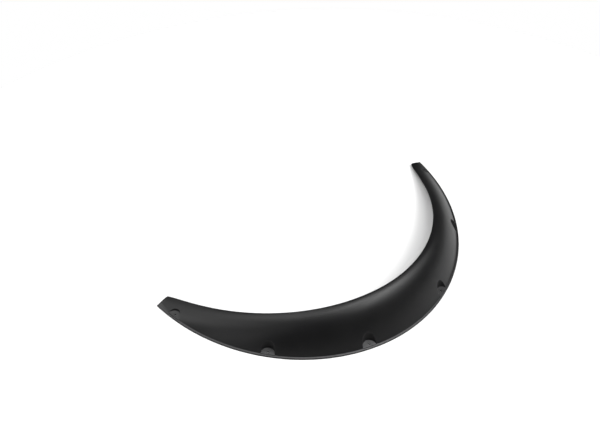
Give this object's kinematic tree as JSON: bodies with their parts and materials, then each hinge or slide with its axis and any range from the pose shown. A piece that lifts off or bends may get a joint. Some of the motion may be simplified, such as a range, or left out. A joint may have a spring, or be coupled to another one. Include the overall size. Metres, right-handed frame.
{
  "type": "wheel arch trim",
  "caption": "Curved black plastic trim that widens a vehicle's wheel arch, screwed to the body panel through pockets along its outer edge.",
  "frame": {"origin": "centre of the part's box in X and Y, on the mounting face in Z", "axes": "+X along the vehicle, +Y up the vehicle at the top of the arch, +Z away from the body panel"},
  "size_m": [0.751, 0.3522, 0.076],
  "materials": {
    "black_plastic": "satin, fine moulded surface"
  },
  "bodies": {
    "root": {"arch_trim": "black_plastic"}
  },
  "joints": []
}
